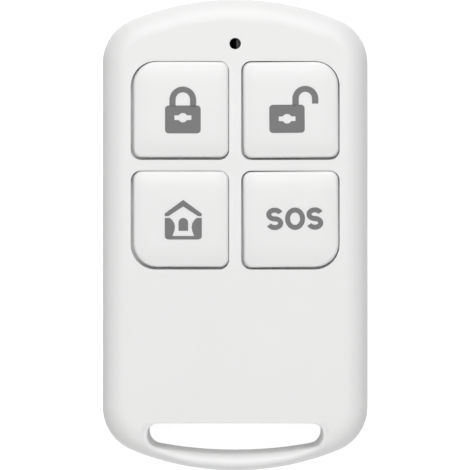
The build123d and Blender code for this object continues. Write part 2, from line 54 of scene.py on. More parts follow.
# Keys: the side of the keypad that each lies on, as (column, row), and the quarters of each cap
key_sides = {"arm": (-1, 1), "disarm": (1, 1), "home": (-1, -1), "sos": (1, -1)}
quarters = ((1, 1), (-1, 1), (-1, -1), (1, -1))
key_depth = 2.9 * mm
key_edge_round = 0.45 * mm
key_crown = 0.03 * mm
key_edge_fall = 0.30 * mm
key_draft = 0.05 * mm
key_shoulder_depth = 0.75 * mm
key_shoulder_reach = 0.03 * mm
key_shoulder_height = 0.05 * mm
key_corner_small = 1.08 * mm
key_corner_large = 3.08 * mm
key_sharp_corner = 0.02 * mm
key_flange_reach = 0.65 * mm
key_flange_thickness = 0.8 * mm
key_wall = 1.4 * mm
key_top_wall = 1.2 * mm
key_rib = 0.8 * mm
key_rib_rise = 0.5 * mm
key_post_drop = 0.5 * mm
key_post_span = 3.2 * mm
ink_thickness = 0.012 * mm

# Where each cap sits in its opening: how far to the right, how far towards the lamp end,
# and by how many degrees it is turned
key_shifts = {"arm": 0.13 * mm, "disarm": 0.05 * mm, "home": 0.13 * mm, "sos": 0.07 * mm}
key_lifts = {"arm": 0.15 * mm, "disarm": 0.11 * mm, "home": 0.15 * mm, "sos": 0.11 * mm}
key_turns = {"arm": 0, "disarm": 0.5, "home": 0, "sos": 0.5}

# Meshes: the distance within which two points are one, the distance from a cut within which an edge lies
# on it, and the bends in degrees past which two faces aren't one flat face, aren't shaded as one, and have
# a broken edge between them
merge_distance = 1e-7
cut_tolerance = 1e-6
flat_angle = 0.5
sharp_angle = 34
broken_angle = 40

# Covers: how far their edges are broken
front_edge_break = 0.11 * mm
rear_edge_break = 0.07 * mm

# Foot end of the front cover: heights, the arcs of the case's outline and of the slot,
# and the cut above the slot
face_height = 11.4 * mm
seam_height = 4.6 * mm
front_edge_radius = 3.05 * mm
end_arc_radius = 35.8 * mm
end_arc_centre_y = 4.7 * mm
corner_arc_radius = 6.2 * mm
corner_arc_centre = (-11.3 * mm, -22.658 * mm)
slot_half = 11.5 * mm
slot_top = -24.7 * mm
slot_arc_radius = 55.827 * mm
slot_arc_centre_y = 26.927 * mm
slot_upper_corner = 1.381 * mm
slot_lower_corner = 1.682 * mm
foot_cut = -23.87 * mm

# Angles on the outline between which it faces the slot's lower corner, and the steps of each run of the plan
faced_from = 205
faced_to = 252
run_steps = (30, 40, 14, 40, 70)

# Beside the slot, in millimetres: distances from the bar's middle, levels up the slot's ends, and at these
# the depth of the ledge, the round of the rim and the distance at which the ledge begins to fade
bar_stations = (0, 4, 7, 9.5, 11, 11.5)
end_levels = (-26.3, -25.4, -24.75)
ledge_depths = ((1.02, 0.96, 0.76, 0.44, 0.24, 0.20), (0.20, 0.14, 0.0))
rim_rounds = ((1.42, 1.38, 1.26, 0.96, 0.52, 0.28), (0.28, 0.18, 0.12))
ledge_reaches = ((2.2, 2.1, 1.7, 1.1, 0.60, 0.42), (0.42, 0.42, 0.42))
ledge_fade = 0.44 * mm

# Snap domes
dome_thickness = 0.08 * mm
dome_leaf_width = 1.0 * mm

# Case screw
screw_head_height = 1.3 * mm
screw_core_radius = 0.6 * mm
screw_thread_depth = 0.2 * mm
screw_pitch = 0.7 * mm
screw_tip_length = 1.1 * mm
screw_cross_half_width = 0.27 * mm
screw_cross_reach = 1.15 * mm
screw_cross_depth = 0.75 * mm
screw_crown = 0.32 * mm
screw_rim_break = 0.06 * mm
screw_shank_overlap = 0.05 * mm

# Light pipe
pipe_radius = 0.71 * mm
pipe_dome = 0.3 * mm
pipe_flange = 0.4 * mm

# Coin cell
cell_foot_round = 0.5 * mm
cell_lip_round = 0.35 * mm
cell_lip_radius = 9.25 * mm
cell_seal_outer = 9.2 * mm
cell_seal_inner = 8.9 * mm
cell_seal_depth = 0.25 * mm
cell_cap_radius = 8.8 * mm
cell_cap_height = 0.3 * mm
cell_cap_break = 0.15 * mm

# Camera: its place over the fob, and its lens
camera_place = (-0.02 * mm, -0.013 * mm, 408 * mm)
camera_sensor = 36
camera_focal_length = 231.8

# Picture: size of a picture point at the widest outline, how much larger the keys look, and the fob's middle
outline_scale = 0.13217 * mm
key_magnification = 1.0098
photo_scale = outline_scale / key_magnification
photo_centre = (235.15, 234.9)

# Floor and sky: the floor's size, how far it lies below the back, and how white it and the sky look
floor_size = 6
floor_gap = 0.02 * mm
floor_glow = 0.92
sky_level = 0.10


# Camera and light


def point_at(thing, place, target):
    """Puts a camera or lamp at place, looking at target, with the picture's top towards the lamp end."""
    thing.location = place
    direction = Vector(target) - Vector(place)
    thing.rotation_euler = direction.to_track_quat("-Z", "Y").to_euler()
    bpy.context.scene.collection.objects.link(thing)


def add_camera():
    """Long lens straight above the fob, set so that the fob's length fills a square frame."""
    lens = bpy.data.cameras.new("photo_camera")
    lens.sensor_width = camera_sensor
    lens.lens = camera_focal_length
    lens.clip_start = 10 * mm
    camera = bpy.data.objects.new("photo_camera", lens)
    point_at(camera, camera_place, (camera_place[0], camera_place[1], 0))
    bpy.context.scene.camera = camera


def add_softbox(name, place, width, height, watts):
    """Oblong soft lamp that looks at the fob."""
    lamp = bpy.data.lights.new(name, "AREA")
    lamp.shape = "RECTANGLE"
    lamp.size = width
    lamp.size_y = height
    lamp.energy = watts
    point_at(bpy.data.objects.new(name, lamp), place, (0, 0, 0))


# Materials


class Value:
    """Output socket of a material's node. Sums and products of values add the Math nodes they need."""

    def __init__(self, graph, socket):
        self.graph = graph
        self.socket = socket

    def maths(self, operation, first, second):
        return self.graph.node("ShaderNodeMath", {"operation": operation}, {0: first, 1: second})

    def __add__(self, other):
        return self.maths("ADD", self, other)

    def __radd__(self, other):
        return self.maths("ADD", other, self)

    def __sub__(self, other):
        return self.maths("SUBTRACT", self, other)

    def __rsub__(self, other):
        return self.maths("SUBTRACT", other, self)

    def __mul__(self, other):
        return self.maths("MULTIPLY", self, other)

    def __rmul__(self, other):
        return self.maths("MULTIPLY", other, self)

    def below(self, other):
        """1 where the value is less than other, and 0 elsewhere."""
        return self.maths("LESS_THAN", self, other)


class Graph:
    """Nodes of a material or of the sky."""

    def __init__(self, holder):
        holder.use_nodes = True
        self.nodes = holder.node_tree.nodes
        self.links = holder.node_tree.links

    def node(self, kind, settings, sockets, output=0):
        """Adds a node, sets it up, fills its sockets with numbers or values, and gives one of its outputs."""
        made = self.nodes.new(kind)
        for setting, value in settings.items():
            setattr(made, setting, value)
        for socket, value in sockets.items():
            if isinstance(value, Value):
                self.links.new(value.socket, made.inputs[socket])
            else:
                made.inputs[socket].default_value = value
        return Value(self, made.outputs[output])

    def shown(self):
        """1 for what the camera sees straight, mirrored or through glass, and 0 for light on things."""
        kinds = ("Camera", "Glossy", "Transmission")
        rays = [self.node("ShaderNodeLightPath", {}, {}, f"Is {kind} Ray") for kind in kinds]
        return rays[0] + rays[1] + rays[2]


class Finish(Graph):
    """One material. Its constants are set on the shader, and its patterns are added with node()."""

    def __init__(self, name, **constants):
        self.material = bpy.data.materials.new(name)
        super().__init__(self.material)
        self.shader = self.nodes["Principled BSDF"]
        for socket, value in constants.items():
            self.shader.inputs[socket.replace("_", " ")].default_value = value

    def place(self, centre=(0, 0, 0), scale=(1, 1, 1)):
        """Object coordinates in millimetres from centre, stretched by scale."""
        here = self.node("ShaderNodeTexCoord", {}, {}, "Object")
        sizes = [one / mm for one in scale]
        shift = [-one * size for one, size in zip(centre, sizes)]
        return self.node("ShaderNodeMapping", {}, {"Vector": here, "Location": shift, "Scale": sizes})

    def noise(self, scale, detail=2.0, where=None):
        """Soft noise from 0 to 1 with scale spots a millimetre."""
        sockets = {"Vector": where or self.place(), "Scale": scale, "Detail": detail}
        return self.node("ShaderNodeTexNoise", {}, sockets, "Fac")

    def mix(self, mask, first, second):
        """Colour that goes from first to second as mask goes from 0 to 1.

        The node's sockets for colours are its inputs 6 and 7 and its output 2.
        """
        return self.node("ShaderNodeMix", {"data_type": "RGBA"}, {0: mask, 6: first, 7: second}, 2)

    def grain(self, height, depth, distance):
        """Bump of the surface: height from 0 to 1, depth its strength, distance in millimetres."""
        sockets = {"Height": height, "Strength": depth, "Distance": distance * mm}
        self.feed("Normal", self.node("ShaderNodeBump", {}, sockets))

    def feed(self, socket, value):
        """Links a worked-out value to one of the shader's sockets."""
        self.links.new(value.socket, self.shader.inputs[socket])


def colour(red, green, blue):
    """Colour with full cover."""
    return (red, green, blue, 1.0)


def moulded_plastic(name, light, dark, roughness, spread, grain_depth, **constants):
    """Moulded plastic: faint mottling between two near colours, uneven gloss, and a fine eroded grain."""
    finish = Finish(name, **constants)
    cloud = finish.noise(0.09, 3.0)
    finish.feed("Base Color", finish.mix(cloud, dark, light))
    finish.feed("Roughness", roughness + (finish.noise(1.6, 3.0) - 0.5) * spread)
    finish.grain(finish.noise(7.0, 2.0) + 0.4 * finish.noise(19.0, 1.0), grain_depth, 0.02)
    return finish.material


def drawn_metal(name, light, dark, roughness, direction, **constants):
    """Plated sheet metal: fine streaks along one direction in colour, gloss and bump, and dull spots."""
    finish = Finish(name, Metallic=1.0, **constants)
    streaks = finish.noise(3.0, 4.0, finish.place(scale=direction))
    spots = finish.noise(1.1, 3.0)
    finish.feed("Base Color", finish.mix(streaks * 0.7 + spots * 0.3, dark, light))
    finish.feed("Roughness", roughness + (streaks - 0.5) * 0.16 + (spots - 0.5) * 0.12)
    finish.grain(streaks, 0.25, 0.01)
    return finish.material


# Meshes


def to_mesh(name, blocks, material, body):
    """Makes one piece from blocks of points and faces."""
    points = []
    faces = []
    count = 0
    for block_points, block_faces in blocks:
        points.append(block_points)
        faces.append(block_faces + count)
        count += len(block_points)
    mesh = bpy.data.meshes.new(name)
    mesh.from_pydata(np.concatenate(points).tolist(), [], np.concatenate(faces).tolist())
    return finish_piece(name, mesh, material, body)


def finish_piece(name, mesh, material, body):
    """Merges doubled points, turns the faces outwards, smooths what isn't an edge, and adds the object.

    The piece rides on body; with None, it rides on none.
    """
    work = bmesh.new()
    work.from_mesh(mesh)
    bmesh.ops.remove_doubles(work, verts=work.verts, dist=merge_distance)
    bmesh.ops.recalc_face_normals(work, faces=work.faces)
    work.to_mesh(mesh)
    work.free()
    mesh.shade_smooth()
    mesh.set_sharp_from_angle(angle=np.radians(sharp_angle))
    mesh.materials.append(material)
    piece = bpy.data.objects.new(name, mesh)
    bpy.context.scene.collection.objects.link(piece)
    if body:
        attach(piece, body)
    return piece


def surface(points, wraps):
    """Faces between neighbouring points of a grid; wraps joins the last column to the first."""
    rows, columns = points.shape[:2]
    numbers = np.arange(rows * columns).reshape(rows, columns)
    right = np.roll(numbers, -1, axis=1)
    if not wraps:
        numbers, right = numbers[:, :-1], right[:, :-1]
    quads = np.stack([numbers[:-1], right[:-1], right[1:], numbers[1:]], axis=-1)
    return points.reshape(-1, 3), quads.reshape(-1, 4)


def block(low, high):
    """Closed box between two corners."""
    bits = np.array([[(n >> 2) & 1, (n >> 1) & 1, n & 1] for n in range(8)])
    points = np.where(bits == 1, np.array(high), np.array(low))
    faces = [[0, 1, 3, 2], [4, 6, 7, 5], [0, 4, 5, 1], [2, 3, 7, 6], [0, 2, 6, 4], [1, 5, 7, 3]]
    return points, np.array(faces)


def placed_box(node):
    """Low corner, high corner and plan middle of a CAD node."""
    low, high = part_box(node)
    return low, high, ((low[0] + high[0]) / 2, (low[1] + high[1]) / 2)


def turned(profile, centre, steps=96):
    """Profile of radii and heights turned round an upright axis: x = r cos a, y = r sin a."""
    radius, height = np.array(profile).T
    angle = np.linspace(0, 2 * np.pi, steps, endpoint=False)
    x = centre[0] + radius[:, None] * np.cos(angle)
    y = centre[1] + radius[:, None] * np.sin(angle)
    z = np.broadcast_to(height[:, None], x.shape)
    return surface(np.stack([x, y, z], axis=-1), True)


def on_cut(ends, cut_y):
    """True where both ends of an edge lie on the cut; without a cut, none does."""
    return cut_y is not None and max(abs(end.y - cut_y) for end in ends) < cut_tolerance


def smooth_copy(name, node, material, edge_break, cut_y=None):
    """Copy of a CAD node with its flat faces joined, its curved faces shaded smooth and its edges broken.

    With cut_y, what lies on the foot's side of that line is taken off, and the cut is closed by a cap whose
    rim stays sharp, so that the cap doesn't shade the face.
    """
    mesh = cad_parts[node].data.copy()
    mesh.materials.clear()
    work = bmesh.new()
    work.from_mesh(mesh)
    bmesh.ops.remove_doubles(work, verts=work.verts, dist=merge_distance)
    flat = np.radians(flat_angle)
    bmesh.ops.dissolve_limit(work, angle_limit=flat, verts=work.verts, edges=work.edges)
    if cut_y is not None:
        everything = work.verts[:] + work.edges[:] + work.faces[:]
        plane = {"plane_co": (0, cut_y, 0), "plane_no": (0, 1, 0), "dist": merge_distance}
        cut = bmesh.ops.bisect_plane(work, geom=everything, clear_inner=True, **plane)
        rim = [part for part in cut["geom_cut"] if isinstance(part, bmesh.types.BMEdge)]
        bmesh.ops.holes_fill(work, edges=rim, sides=0)
    weight = work.edges.layers.float.new("bevel_weight_edge")
    for edge in work.edges:
        bends = edge.calc_face_angle(0.0) > np.radians(broken_angle)
        edge[weight] = float(bends and not on_cut([end.co for end in edge.verts], cut_y))
    work.to_mesh(mesh)
    work.free()
    piece = finish_piece(name, mesh, material, "case")
    for edge in mesh.edges:
        if on_cut([mesh.vertices[end].co for end in edge.vertices], cut_y):
            edge.use_edge_sharp = True
    bevel = piece.modifiers.new("edge_break", "BEVEL")
    bevel.width = edge_break
    bevel.segments = 2
    bevel.limit_method = "WEIGHT"
    piece.modifiers.new("even_shading", "WEIGHTED_NORMAL").keep_sharp = True
    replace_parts(piece, node)


# Foot end of the front cover, with the bar outside the slot


def plan_arc(centre, radius, start, end, steps=200):
    """Points of an arc in the plan, with angles in degrees from +X towards +Y."""
    angle = np.radians(np.linspace(start, end, steps))
    return np.stack([centre[0] + radius * np.cos(angle), centre[1] + radius * np.sin(angle)], axis=-1)


def foot_plan():
    """Two loops of as many points: the slot's outline, and the cut line closed by the case's outline.

    Both are worked out for the left half, from the top middle to the foot's middle, and mirrored. Each run of
    the one faces a run of the other, so the lines between them lie nearly square to the slot's rim.
    """
    upper = (-slot_half + slot_upper_corner, slot_top - slot_upper_corner)
    lower_x = slot_half - slot_lower_corner
    inner_radius = slot_arc_radius - slot_lower_corner
    lower = (-lower_x, slot_arc_centre_y - np.sqrt(inner_radius**2 - lower_x**2))
    joins_at = 270 - np.degrees(np.arcsin(lower_x / inner_radius))
    cut_angle = 180 + np.degrees(np.arcsin((corner_arc_centre[1] - foot_cut) / corner_arc_radius))
    corner_end = 270 - np.degrees(np.arcsin(-corner_arc_centre[0] / (end_arc_radius - corner_arc_radius)))
    cut_x = corner_arc_centre[0] + corner_arc_radius * np.cos(np.radians(cut_angle))
    end_centre, slot_centre = (0, end_arc_centre_y), (0, slot_arc_centre_y)
    before_corner = plan_arc(corner_arc_centre, corner_arc_radius, cut_angle, faced_from)
    corner = plan_arc(corner_arc_centre, corner_arc_radius, faced_from, corner_end)
    turn_in = plan_arc(end_centre, end_arc_radius, corner_end, faced_to)
    bar_edge = plan_arc(end_centre, end_arc_radius, faced_to, 270)
    tilt = np.linspace(0, np.pi / 2, run_steps[1] + 1)
    over_edge = cut_x + front_edge_radius * (1 - np.sin(tilt)) / np.cos(np.radians(cut_angle - 180))
    over_edge = np.stack([over_edge, np.full(len(tilt), foot_cut)], axis=-1)
    runs = [
        ([(0, slot_top), (upper[0], slot_top)], [(0, foot_cut), over_edge[0]]),
        (plan_arc(upper, slot_upper_corner, 90, 135), over_edge),
        (plan_arc(upper, slot_upper_corner, 135, 180), before_corner),
        (plan_arc(lower, slot_lower_corner, 180, joins_at), np.concatenate([corner, turn_in[1:]])),
        (plan_arc(slot_centre, slot_arc_radius, joins_at, 270), bar_edge),
    ]
    middles = ((0, slot_arc_centre_y - slot_arc_radius), (0, end_arc_centre_y - end_arc_radius))
    loops = []
    for side, middle in enumerate(middles):
        lines = []
        for run, steps in zip(runs, run_steps):
            line = run[side]
            lines.append((line if len(line) == steps + 1 else resampled(line, steps + 1))[:-1])
        left = np.concatenate(lines + [[middle]])
        loops.append(np.concatenate([left, left[-2:0:-1] * (-1, 1)]))
    return loops


def from_line(places, line):
    """Distance from each place to a closed line of points."""
    run = np.roll(line, -1, axis=0) - line
    there = places[..., None, :] - line
    share = np.clip((there * run).sum(axis=-1) / (run**2).sum(axis=-1), 0, 1)
    return np.linalg.norm(there - share[..., None] * run, axis=-1).min(axis=-1)


def from_outline(x, y):
    """Distance inwards from the case's outline at the foot: from the long arc, or the arc at the corner."""
    reach = np.hypot(np.abs(x) + corner_arc_centre[0], y - corner_arc_centre[1])
    arc_slope = -corner_arc_centre[0] / (end_arc_centre_y - corner_arc_centre[1])
    at_corner = np.abs(x) > arc_slope * (end_arc_centre_y - y)
    from_end = end_arc_radius - np.hypot(x, y - end_arc_centre_y)
    return np.where(at_corner, corner_arc_radius - reach, from_end)


def round_drop(distance, radius):
    """How far a quarter round lies below its face: r - sqrt(r squared - (r - d) squared), or 0 past r."""
    short = radius - np.minimum(distance, radius)
    return radius - np.sqrt(np.maximum(radius**2 - short**2, 0))


def beside_slot(rim, sizes):
    """Size at each point of the slot's rim, in metres, from sizes along the bar and up the slot's ends."""
    along_bar, up_ends = sizes
    aside, level = np.abs(rim[:, 0]) / mm, rim[:, 1] / mm
    on_bar = np.interp(aside, bar_stations, along_bar)
    on_ends = np.interp(level, end_levels, up_ends)
    return np.where(level < end_levels[0], on_bar, on_ends) * mm


def slot_surround(material, steps=56):
    """Foot end of the front cover: rows from the slot's rim out to the outline, down, in and up again.

    The face is lowered by the soft maximum of the case's outer round and a shallow ledge beside the slot,
    and by the slot's own round: full along the bar, less at the slot's ends, and a broken edge above it.
    """
    rim, edge = foot_plan()
    share = (0.5 - 0.5 * np.cos(np.linspace(0, np.pi, steps)))[:, None, None]
    plan = rim * (1 - share) + edge * share
    x, y = plan[..., 0], plan[..., 1]
    away = from_line(plan, rim)
    ledge_depth = beside_slot(rim, ledge_depths)
    rim_round = beside_slot(rim, rim_rounds)
    fades_from = beside_slot(rim, ledge_reaches)
    fade_width = ledge_fade + 0.5 * (fades_from - ledge_reaches[1][0] * mm)
    near = np.clip((fades_from + fade_width - away) / fade_width, 0, 1)
    near = near * near * (3 - 2 * near)
    ledge = ledge_depth * near
    outer = round_drop(from_outline(x, y), front_edge_radius)
    softness = 0.5 * ledge_depth * near
    never_zero = np.maximum(softness, 1e-9)
    mixing = np.clip(0.5 + 0.5 * (outer - ledge) / never_zero, 0, 1)
    drop = ledge * (1 - mixing) + outer * mixing + softness * mixing * (1 - mixing)
    z = face_height - drop - round_drop(away, rim_round)
    base = np.full(rim.shape[0], seam_height)
    rows = [np.dstack([x, y, z]), np.column_stack([edge, base])[None], np.column_stack([rim, base])[None]]
    rows.append(rows[0][:1])
    to_mesh("slot_surround", [surface(np.concatenate(rows), True)], material, "case")


# Keys


def key_box(key):
    """Middle, half size without the flange, and top of one key cap, from its CAD node."""
    low, high, middle = placed_box(f"{key}_button")
    half = ((high[0] - low[0]) / 2 - key_flange_reach, (high[1] - low[1]) / 2 - key_flange_reach)
    return middle, half, high[2]


def crown_height(x, y, half, top):
    """Key top, a pillow: along both sides it sinks by the square of the way out, and by its eighth power."""
    out = np.stack([x / half[0], y / half[1]])
    return top - (key_crown * out**2 + key_edge_fall * out**8).sum(axis=0)


def loop(half, inset, radii, steps=9, side_steps=14):
    """Rounded rectangle drawn in by inset: four quarter arcs with their own radii, and straight sides."""
    runs = []
    half_x, half_y = half[0] - inset, half[1] - inset
    for quarter, ((side_x, side_y), radius) in enumerate(zip(quarters, radii)):
        round_off = max(radius - inset, key_sharp_corner)
        angle = quarter * np.pi / 2 + np.linspace(0, np.pi / 2, steps)
        x = side_x * (half_x - round_off) + round_off * np.cos(angle)
        y = side_y * (half_y - round_off) + round_off * np.sin(angle)
        runs.append(np.stack([x, y], axis=-1))
    joined = []
    for run, following in zip(runs, runs[1:] + runs[:1]):
        share = np.linspace(0, 1, side_steps)[1:-1, None]
        joined += [run, run[-1] * (1 - share) + following[0] * share]
    return np.concatenate(joined)


def key_cap(key, material, crown_rings=13, edge_rings=9):
    """One key as rings from the middle of its crown, over the round edge, down to the flange, and back in.

    Ring n of the edge is drawn in by r (1 - sin a) and lowered by r (1 - cos a), with a from 0 to 90 degrees.
    """
    middle, half, top = key_box(key)
    radii = [key_corner_large if quarter == key_sides[key] else key_corner_small for quarter in quarters]
    sharp = [key_sharp_corner] * len(quarters)
    surface_top = top - 2 * ink_thickness
    low = top - key_depth
    rings = []

    def ring(plan, height):
        rings.append(np.column_stack([plan, np.broadcast_to(height, len(plan))]))

    inner = loop(half, key_edge_round, radii)
    for share in np.linspace(0, 1, crown_rings):
        plan = inner * share
        ring(plan, crown_height(plan[:, 0], plan[:, 1], half, surface_top))
    edge_height = crown_height(inner[:, 0], inner[:, 1], half, surface_top)
    for angle in np.linspace(0, np.pi / 2, edge_rings)[1:]:
        plan = loop(half, key_edge_round * (1 - np.sin(angle)), radii)
        ring(plan, edge_height - key_edge_round * (1 - np.cos(angle)))
    ring(loop(half, 0, radii), top - key_shoulder_depth)
    ring(loop(half, -key_shoulder_reach, radii), top - key_shoulder_depth - key_shoulder_height)
    ring(loop(half, -key_draft, radii), low + key_flange_thickness)
    flange = loop(half, -key_flange_reach, sharp)
    ring(flange, low + key_flange_thickness)
    ring(flange, low)
    hollow = loop(half, key_wall, sharp)
    ring(hollow, low)
    ceiling = top - key_top_wall
    ring(hollow, ceiling)
    ring(hollow * 0, ceiling)
    blocks = [surface(np.stack(rings), True)]
    post = key_post_span / 2
    ribs = (half[0] - key_wall, half[1] - key_wall, low + key_rib_rise)
    for reach_x, reach_y, foot in (ribs, (post, post, low - key_post_drop)):
        for half_x, half_y in ((reach_x, key_rib / 2), (key_rib / 2, reach_y)):
            blocks.append(block((-half_x, -half_y, foot), (half_x, half_y, ceiling)))
    turn = np.radians(key_turns[key])
    spin = np.array([[np.cos(turn), np.sin(turn), 0], [-np.sin(turn), np.cos(turn), 0], [0, 0, 1]])
    place = (middle[0] + key_shifts[key], middle[1] + key_lifts[key], 0)
    placed = [(part @ spin + place, faces) for part, faces in blocks]
    piece = to_mesh(f"{key}_key_cap", placed, material, f"{key}_key")
    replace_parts(piece, f"{key}_button")


# Printed signs. Their points are picture points, as (right, down), and are turned into places on the key.


def arc(centre, radius, start, end, steps=24):
    """Points of an arc, with angles in degrees from the right, positive towards the top of the picture."""
    angle = np.radians(np.linspace(start, end, steps))
    return np.stack([centre[0] + radius * np.cos(angle), centre[1] - radius * np.sin(angle)], axis=-1)


def resampled(line, count, closed=False):
    """A line's points set anew at even steps along it."""
    line = np.array(line, dtype=float)
    if closed:
        line = np.concatenate([line, line[:1]])
    along = np.concatenate([[0], np.cumsum(np.linalg.norm(np.diff(line, axis=0), axis=1))])
    even = np.linspace(0, along[-1], count)
    return np.stack([np.interp(even, along, line[:, axis]) for axis in (0, 1)], axis=-1)


def by_angle(line, middle, count=96, steps=1200):
    """Closed line's points where rays from middle, at even angles, cross it."""
    line = resampled(line, steps, closed=True)
    angle = np.arctan2(line[:, 1] - middle[1], line[:, 0] - middle[0])
    reach = np.hypot(line[:, 0] - middle[0], line[:, 1] - middle[1])
    order = np.argsort(angle)
    even = np.linspace(-np.pi, np.pi, count, endpoint=False)
    radius = np.interp(even, angle[order], reach[order], period=2 * np.pi)
    return np.stack([middle[0] + radius * np.cos(even), middle[1] + radius * np.sin(even)], axis=-1)


def band(first, second, across=6):
    """Flat ink between two lines of as many points: rows at even shares of the way from first to second."""
    share = np.linspace(0, 1, across)[:, None, None]
    return first * (1 - share) + second * share


def rounded_box(left, top, right, bottom, radius, steps=8):
    """Closed outline of a box with round corners."""
    centres = ((right - radius, top + radius, 0), (left + radius, top + radius, 90))
    centres += ((left + radius, bottom - radius, 180), (right - radius, bottom - radius, 270))
    return np.concatenate([arc((x, y), radius, start, start + 90, steps) for x, y, start in centres])


def keyhole(middle, half_x, half_y, tab):
    """Outline of a round-ended lozenge with a short tab at each side."""
    slope_x = half_x - tab
    points = [(middle[0] - half_x, middle[1] - tab), (middle[0] - slope_x, middle[1] - tab)]
    points += list(arc((middle[0], middle[1]), half_y, 150, 30, 14))
    points += [(middle[0] + slope_x, middle[1] - tab), (middle[0] + half_x, middle[1] - tab)]
    lower = [(2 * middle[0] - x, 2 * middle[1] - y) for x, y in points]
    return np.array(points + lower)


def arch(left, right, top, foot_left, foot_right):
    """Open outline of an upside-down U: half circle on top and straight legs down to each foot."""
    radius = (right - left) / 2
    centre = ((left + right) / 2, top + radius)
    bow = arc(centre, radius, 180, 0, 40)
    return np.concatenate([[(left, foot_left)], bow, [(right, foot_right)]])


def padlock(body_box, shackle, leg_feet, hole_middle, hole_half):
    """Padlock sign: body with a hole, and a shackle whose right leg may end above the body.

    body_box is the body's left, top, right and bottom, shackle its left, right, top and width, and leg_feet
    the ends of its two legs. The shackle's bow is a little thinner than its legs.
    """
    corner, tab, bow_share, count = 3.5, 2.4, 0.93, 80
    outer = rounded_box(*body_box, corner)
    hole = keyhole(hole_middle, *hole_half, tab)
    body = band(by_angle(outer, hole_middle), by_angle(hole, hole_middle))
    left, right, top, width = shackle
    outside = resampled(arch(left, right, top, *leg_feet), count)
    inside = resampled(arch(left + width, right - width, top + bow_share * width, *leg_feet), count)
    return [(body, True), (band(outside, inside), False)]


def stroke(line, width, count=72):
    """Ink of one width along a line: the two sides lie half a width from it, square to its direction."""
    line = resampled(line, count)
    along = np.gradient(line, axis=0)
    along /= np.linalg.norm(along, axis=1)[:, None]
    square = np.stack([-along[:, 1], along[:, 0]], axis=-1) * width / 2
    return (band(line + square, line - square), False)


def letter_s(left, right, top, bottom, width):
    """Letter from two open arcs, the upper one open to the right and the lower one open to the left."""
    opening = 20
    left, right, top, bottom = left + width / 2, right - width / 2, top + width / 2, bottom - width / 2
    middle = (top + bottom) / 2
    half = (right - left) / 2
    upper = (middle - top) / 2
    centre = (left + right) / 2
    high = arc((0, 0), 1, opening, 270, 40) * (half, upper) + (centre, top + upper)
    low = arc((0, 0), 1, 90, opening - 180, 40) * (half, upper) + (centre, middle + upper)
    return stroke(np.concatenate([high, low[1:]]), width)


def letter_o(left, right, top, bottom, width):
    """Letter as a closed band between two ovals."""
    centre = ((left + right) / 2, (top + bottom) / 2)
    half = ((right - left) / 2, (bottom - top) / 2)
    outer = arc((0, 0), 1, 0, 360, 73)[:-1]
    inside = (half[0] - width, half[1] - width)
    return (band(outer * half + centre, outer * inside + centre), True)


def house():
    """House sign: a roof line, a floor line, two side walls with curved inner sides and an arched window."""
    middle, wall_left, wall_top, corner = 183.3, 164.8, 217.9, 3.4
    floor_left, floor_right, floor_top, floor_bottom = 172.3, 194.3, 236.0, 239.5
    window_left, window_right, sill = 178.5, 188.1, 230.8
    roof_outer = [(164.7, 216.2), (164.6, 213.6), (183.2, 199.9), (201.8, 213.6), (201.7, 216.2)]
    roof_inner = [(168.2, 216.2), (168.7, 215.9), (183.2, 206.5), (197.7, 215.9), (198.2, 216.2)]
    roof_stations = (0, 0.05, 0.5, 0.95, 1)
    along = np.linspace(0, 1, 41)
    roof_lines = []
    for line in (roof_outer, roof_inner):
        roof_lines.append(np.stack([np.interp(along, roof_stations, side) for side in zip(*line)], axis=-1))
    level = np.linspace(wall_top, floor_bottom, 30)
    wall_levels = (wall_top, 220, 223, 226.9, 231, 235.7, floor_top, floor_bottom)
    inner_side = np.interp(level, wall_levels, (169.8, 172.2, 174.2, 175.0, 174.3, 172.6, 172.4, 172.4))
    below = np.clip(level - (floor_bottom - corner), 0, corner)
    outer_side = wall_left + corner - np.sqrt(corner**2 - below**2)
    left_wall = band(np.stack([outer_side, level], axis=-1), np.stack([inner_side, level], axis=-1))
    right_wall = left_wall * (-1, 1) + (2 * middle, 0)
    floor_lines = [np.array([(floor_left, y), (floor_right, y)]) for y in (floor_top, floor_bottom)]
    window = arch(window_left, window_right, wall_top, sill, sill)
    across = np.linspace(window_left, window_right, len(window))
    window_foot = np.stack([across, np.full(len(window), sill)], axis=-1)
    inks = [band(*roof_lines), left_wall, right_wall, band(*floor_lines), band(window, window_foot)]
    return [(ink, False) for ink in inks]


def sign(key, parts, material):
    """Lays flat ink on a key's crown, with its rim turned down to the plastic."""
    middle, half, top = key_box(key)
    turn = np.radians(key_turns[key])
    every = np.concatenate([grid.reshape(-1, 2) for grid, wraps in parts])
    pivot = (every.min(axis=0) + every.max(axis=0)) / 2
    spin = np.array([[np.cos(turn), -np.sin(turn)], [np.sin(turn), np.cos(turn)]])
    blocks = []
    for grid, wraps in parts:
        grid = (grid - pivot) @ spin + pivot
        x = (grid[..., 0] - photo_centre[0]) * photo_scale
        y = (photo_centre[1] - grid[..., 1]) * photo_scale
        height = crown_height(x - middle[0], y - middle[1], half, top - 2 * ink_thickness)
        upper = np.stack([x, y, height + ink_thickness], axis=-1)
        lower = np.stack([x, y, height - ink_thickness], axis=-1)
        points = np.concatenate([lower[:1], upper, lower[-1:]])
        blocks.append(surface(points, wraps))
    to_mesh(f"{key}_sign", blocks, material, f"{key}_key")


# Switch domes, screw, light pipe and coin cell


